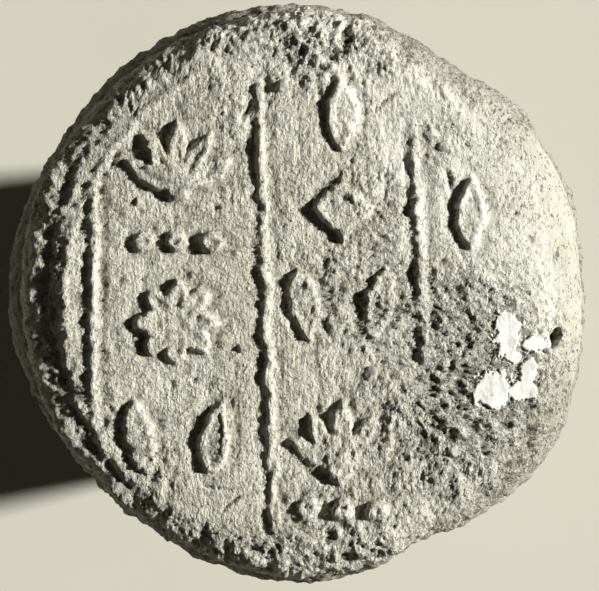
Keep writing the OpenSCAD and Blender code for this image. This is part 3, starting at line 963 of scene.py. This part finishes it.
# The side and the underside: rings from the face's edge down into the shoulder, then in under the pad.
number = np.arange(pad_cells**2).reshape(pad_cells, pad_cells)
border = np.concatenate([number[0, :-1], number[:-1, -1], number[-1, :0:-1], number[:0:-1, 0]])
rim = pad_points.reshape(-1, 3)[border]
rim_way = at_turn(1, pad_angle, 0).reshape(-1, 3)[border]
rim_bump = pad_bump.ravel()[border][:, None]
skirt = []
for share in np.linspace(0, 1, skirt_rows + 1)[1:]:
    ring = rim - rim_way * rim_bump
    ring[:, 2] += (pad_foot_z - ring[:, 2]) * share
    own_bump = 0.3 * rough(ring, 2.4, 82) + 0.35 * crumbly(ring)
    from_rim = (1 - share) ** 7
    ring += rim_way * (rim_bump * from_rim + own_bump[:, None] * (1 - from_rim))
    skirt.append(ring)
centre = np.array([pad_x, 0, 0])
for inset, height in ((0.8, pad_foot_z), (0.4, pad_foot_z + 3), (0.15, core_top)):
    skirt.append(centre + (rim - centre) * [inset, inset, 0] + [0, 0, height])
skirt_numbers = pad_cells**2 + np.arange(len(skirt) * len(border)).reshape(len(skirt), -1)
pad_rings = np.concatenate([border[None], skirt_numbers])
following = np.roll(pad_rings, -1, axis=1)
pad_faces = [grid_faces(pad_cells, pad_cells)]
for i in range(len(skirt)):
    quads = [pad_rings[i + 1], following[i + 1], following[i], pad_rings[i]]
    pad_faces.append(np.stack(quads, axis=-1))
pad_middle = pad_cells**2 + len(skirt) * len(border)
pad_faces.append(fan_faces(pad_rings[-1], pad_middle, upward=False))
pad_off = smoothed(pad_bump, 6) - pad_bump
# Painted shade: the face darkens in its hollows and its marked pits, and where the rim turns to the lamp,
# which lights it most.
to_lamp = np.sin(rim_turn) * np.cos(pad_angle - key_azimuth)
pad_hollow = np.maximum(ramp(pad_off, 0.05, 0.5), 0.74 * ramp(to_lamp, 0.12, 0.58)) + ramp(marked, 0.3, 1.2)
# A painted highlight on the face's raised spots.
pad_painted_highlight = ramp(-pad_off, 0.03, 0.4)
# Dust lies thicker on the chalky upper right and where worn, and is taken away where the rim faces the lamp,
# as painted shade.
pad_dust_and_painted_shade = 0.34 + 0.8 * chalky - 0.7 * ramp(to_lamp, 0.05, 0.45)
pad_dust_and_painted_shade = np.clip(pad_dust_and_painted_shade + 0.36 * worn + 0.25 * rough(pad_flat, 9, 84, 3), 0, 1)
face_clay = fired_clay(
    "face_clay",
    dark=(0.13, 0.118, 0.085, 1),
    body=(0.675, 0.652, 0.51, 1),
    pale=(0.79, 0.772, 0.65, 1),
    depth=0.6,
    wiping=(1, 0.24, 1),
    open_skin=1.0,
)
make_piece(
    "face_pad_clay",
    np.concatenate([pad_points.reshape(-1, 3), *skirt, [[pad_x, 0, core_top]]]),
    pad_faces,
    {
        "hollow": np.concatenate([pad_hollow.ravel(), np.full(skirt_numbers.size, side_shade)]),
        "painted_highlight": pad_painted_highlight,
        "dust_and_painted_shade": pad_dust_and_painted_shade,
        "worn": worn - 0.6 * ramp(pad_px, 28, 35),
    },
    face_clay,
    "face_pad",
)


def face_at(x, y):
    """Height of the dressed face over a place measured from the pad's middle, read off the pad's grid."""
    turn = np.arctan2(y, x)
    edge = round_curve(pad_outline, turn)
    bend = round_curve(pad_rounding, turn)
    past = np.clip((np.hypot(x, y) - edge + bend) / bend, 0, 1)
    share = np.minimum(np.hypot(x, y), edge - bend) + bend * np.arcsin(past)
    share = share / (edge - bend + bend * np.pi / 2)
    quarter = np.floor(turn / (np.pi / 2) + 0.5)
    slant = (turn - quarter * np.pi / 2) / (np.pi / 4)
    quarter = quarter.astype(int) % 4
    across = share * np.choose(quarter, [1 + 0 * slant, -slant, -1 + 0 * slant, slant])
    up = share * np.choose(quarter, [slant, 1 + 0 * slant, -slant, -1 + 0 * slant])
    column = np.clip((across + 1) / 2 * (pad_cells - 1), 0, pad_cells - 1.001)
    row = np.clip((up + 1) / 2 * (pad_cells - 1), 0, pad_cells - 1.001)
    j, i = column.astype(int), row.astype(int)
    right, above = column - j, row - i
    z = pad_points[..., 2]
    low = z[i, j] * (1 - right) + z[i, j + 1] * right
    return low * (1 - above) + (z[i + 1, j] * (1 - right) + z[i + 1, j + 1] * right) * above


# Plaster remains
# Flakes of white lime plaster that are left of a coat over the face, stuck in hollows on the lower right.
# They are thin and chalky, with ragged edges that run out on the clay.
plaster_step = 0.11
plaster_h = 0.6
plaster_skirt = 0.35
plaster_depth = 1.2
plaster_white = (0.84, 0.83, 0.77, 1)
plaster_stained = (0.70, 0.68, 0.60, 1)
plaster_chalk = 0.5
plaster_stain = 2.2
plaster_grain_h = 0.06
pinch_rounds = 6
# The stretch of the face that the flakes lie in, from left to right and from bottom to top.
plaster_window = ((22.0, 34.0), (-17.5, -0.5))
# Middle from the pad's middle, half width and half height of each flake.
plaster_flakes = np.array([
    (26.6, -5.2, 1.8, 2.9),
    (30.6, -6.8, 1.6, 1.0),
    (29.6, -10.6, 1.0, 1.9),
    (24.8, -12.7, 2.7, 2.2),
    (28.6, -13.2, 2.2, 1.3),
    (27.6, -8.4, 0.9, 0.8),
])


def slab(top, bottom, keep):
    """A closed plate from the kept cells of a grid: its top, its underside, and walls along the border."""
    count = top.shape[0] * top.shape[1]
    quads = grid_faces(*top.shape[:2])[keep.ravel()]
    edges = np.concatenate([quads[:, [i, (i + 1) % 4]] for i in range(4)])
    single = ~np.isin(edges @ [count, 1], edges @ [1, count])
    start, end = edges[single].T
    walls = np.stack([start + count, end + count, end, start], axis=-1)
    faces = np.concatenate([quads, quads[:, ::-1] + count, walls])
    used, numbers = np.unique(faces, return_inverse=True)
    points = np.concatenate([top.reshape(-1, 3), bottom.reshape(-1, 3)])
    return points[used], numbers.reshape(faces.shape)


plaster_x, plaster_y = np.meshgrid(*(np.arange(*span, plaster_step) for span in plaster_window))
plaster_flat = np.stack([plaster_x, plaster_y, 0 * plaster_x], axis=-1)
ragged = 0.5 * rough(plaster_flat, 2.2, 91, 4, 0.7)
plaster_cover = np.max([
    1 - np.hypot((plaster_x - x) / wide, (plaster_y - y) / tall) for x, y, wide, tall in plaster_flakes
], axis=0) + ragged + 0.1
plaster_base = face_at(plaster_x, plaster_y)
filled = smoothed(plaster_base, 9) + 0.12
plaster_rise = plaster_h * (0.4 * ramp(plaster_cover, 0, 0.15) - ramp(-plaster_cover, 0, 0.35))
plaster_rise += 0.05 * rough(plaster_flat, 1.4, 92, 4, 0.6)
plaster_z = np.where(plaster_cover > 0, filled, plaster_base) + plaster_rise
solid = plaster_cover > -plaster_skirt
keep = solid[:-1, :-1] & solid[1:, :-1] & solid[:-1, 1:] & solid[1:, 1:]
# Where two kept cells meet at a corner alone, a third one is kept too, so that no wall is pinched.
for _ in range(pinch_rounds):
    one = keep[:-1, :-1] & keep[1:, 1:] & ~keep[1:, :-1] & ~keep[:-1, 1:]
    other = keep[1:, :-1] & keep[:-1, 1:] & ~keep[:-1, :-1] & ~keep[1:, 1:]
    keep[:-1, :-1] |= other
    keep[1:, :-1] |= one
plaster_points, plaster_faces = slab(
    np.stack([pad_x + plaster_x, plaster_y, plaster_z], axis=-1),
    np.stack([pad_x + plaster_x, plaster_y, smoothed(plaster_base, 7) - plaster_depth], axis=-1),
    keep,
)
plaster, place = new_material("plaster")
chalk = noise(place, plaster_chalk, 4.0)
stain = noise(place, plaster_stain, 3.0)
white = stain.between(0.42, 0.7).blend(plaster_white, plaster_stained)
finish_material(white, roughness=0.95, shine=0.15, relief=chalk, relief_h=plaster_grain_h * MM)
make_piece("plaster_flakes", plaster_points, [plaster_faces], {}, plaster, "plaster_remains")

# Grit grains
# Grains of quartz and limestone temper that the wiped skin leaves bare, each held in its own socket of clay.
# They are broken pebbles, more than half sunk, and no two are alike.
grit_rows = 13
grit_around = 20
grit_sink = 0.3
grit_size = 0.85
grit_cuts = 9
grit_dark = (0.27, 0.255, 0.21, 1)
grit_pale = (0.47, 0.45, 0.385, 1)
grit_mottle = 0.7
grit_grain_h = 0.15
grit_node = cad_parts["grit_grains"].data
grit_co = np.empty(len(grit_node.vertices) * 3)
grit_node.vertices.foreach_get("co", grit_co)
grit_co = grit_co.reshape(-1, 3) / MM
grit_edges = np.empty(len(grit_node.edges) * 2, dtype=np.int64)
grit_node.edges.foreach_get("vertices", grit_edges)
start, end = grit_edges.reshape(-1, 2).T
# Every point takes the lowest number among those it is joined to, until each grain has one number.
label = np.arange(len(grit_co))
while np.any(label[start] != label[end]):
    lowest = np.minimum(label[start], label[end])
    np.minimum.at(label, start, lowest)
    np.minimum.at(label, end, lowest)


def flank_at(turn, z):
    """Distance of the dressed flank from the axis at a turn and a height: the mean of nine grid points."""
    row = np.searchsorted(outer_z[:jacket_rows_flank], z) + np.arange(-1, 2)
    column = round(turn / (2 * np.pi) * jacket_around) + np.arange(-1, 2)
    return np.linalg.norm(outer[row][:, column % jacket_around, :2], axis=-1).mean()


high_angle = np.linspace(-np.pi / 2, np.pi / 2, grit_rows)[1:-1, None]
turn = np.linspace(0, 2 * np.pi, grit_around, endpoint=False)
ways = at_turn(np.cos(high_angle), turn, np.sin(high_angle)).reshape(-1, 3)
ways = np.concatenate([ways, [[0, 0, -1], [0, 0, 1]]])
count = (grit_rows - 2) * grit_around
grit_points = []
grit_faces = []
for number, first in enumerate(np.unique(label)):
    ball = grit_co[label == first]
    middle = (ball.min(axis=0) + ball.max(axis=0)) / 2
    radius = (ball.max(axis=0) - ball.min(axis=0)).max() / 2
    on_face = middle[2] > body_len
    out = np.array([0, 0, 1]) if on_face else middle * [1, 1, 0] / np.hypot(*middle[:2])
    # A broken pebble: a ball cut by a few random planes, then roughened.
    draw = np.random.default_rng(100 + number)
    planes = draw.normal(size=(grit_cuts, 3))
    planes /= np.linalg.norm(planes, axis=1, keepdims=True)
    cut = draw.uniform(0.62, 0.95, grit_cuts) / np.clip(ways @ planes.T, 0.2, None)
    shape = np.minimum(1, cut.min(axis=1)) + 0.08 * grain(ways + number * 3.1, 0.5, 101)
    if on_face:
        middle[2] = face_at(middle[:1] - pad_x, middle[1:2])[0]
    else:
        middle = out * flank_at(np.arctan2(out[1], out[0]), middle[2]) + middle * [0, 0, 1]
    sink = radius * (grit_sink if on_face else 2 * grit_sink)
    grit_points.append(middle - out * sink + ways * shape[:, None] * radius * grit_size)
    base = number * (count + 2)
    grit_faces.append(turned_faces(grit_rows - 2, grit_around, base))
    grit_faces.append(fan_faces(np.arange(grit_around) + base, base + count, upward=False))
    grit_faces.append(fan_faces(np.arange(count - grit_around, count) + base, base + count + 1, upward=True))
grit, place = new_material("grit")
mottle = noise(place, grit_mottle, 4.0)
colour = mottle.between(0.35, 0.65).blend(grit_dark, grit_pale)
finish_material(colour, roughness=0.75, shine=0.3, relief=mottle, relief_h=grit_grain_h * MM)
make_piece("grit_pebbles", np.concatenate(grit_points), grit_faces, {}, grit, "grit_grains")
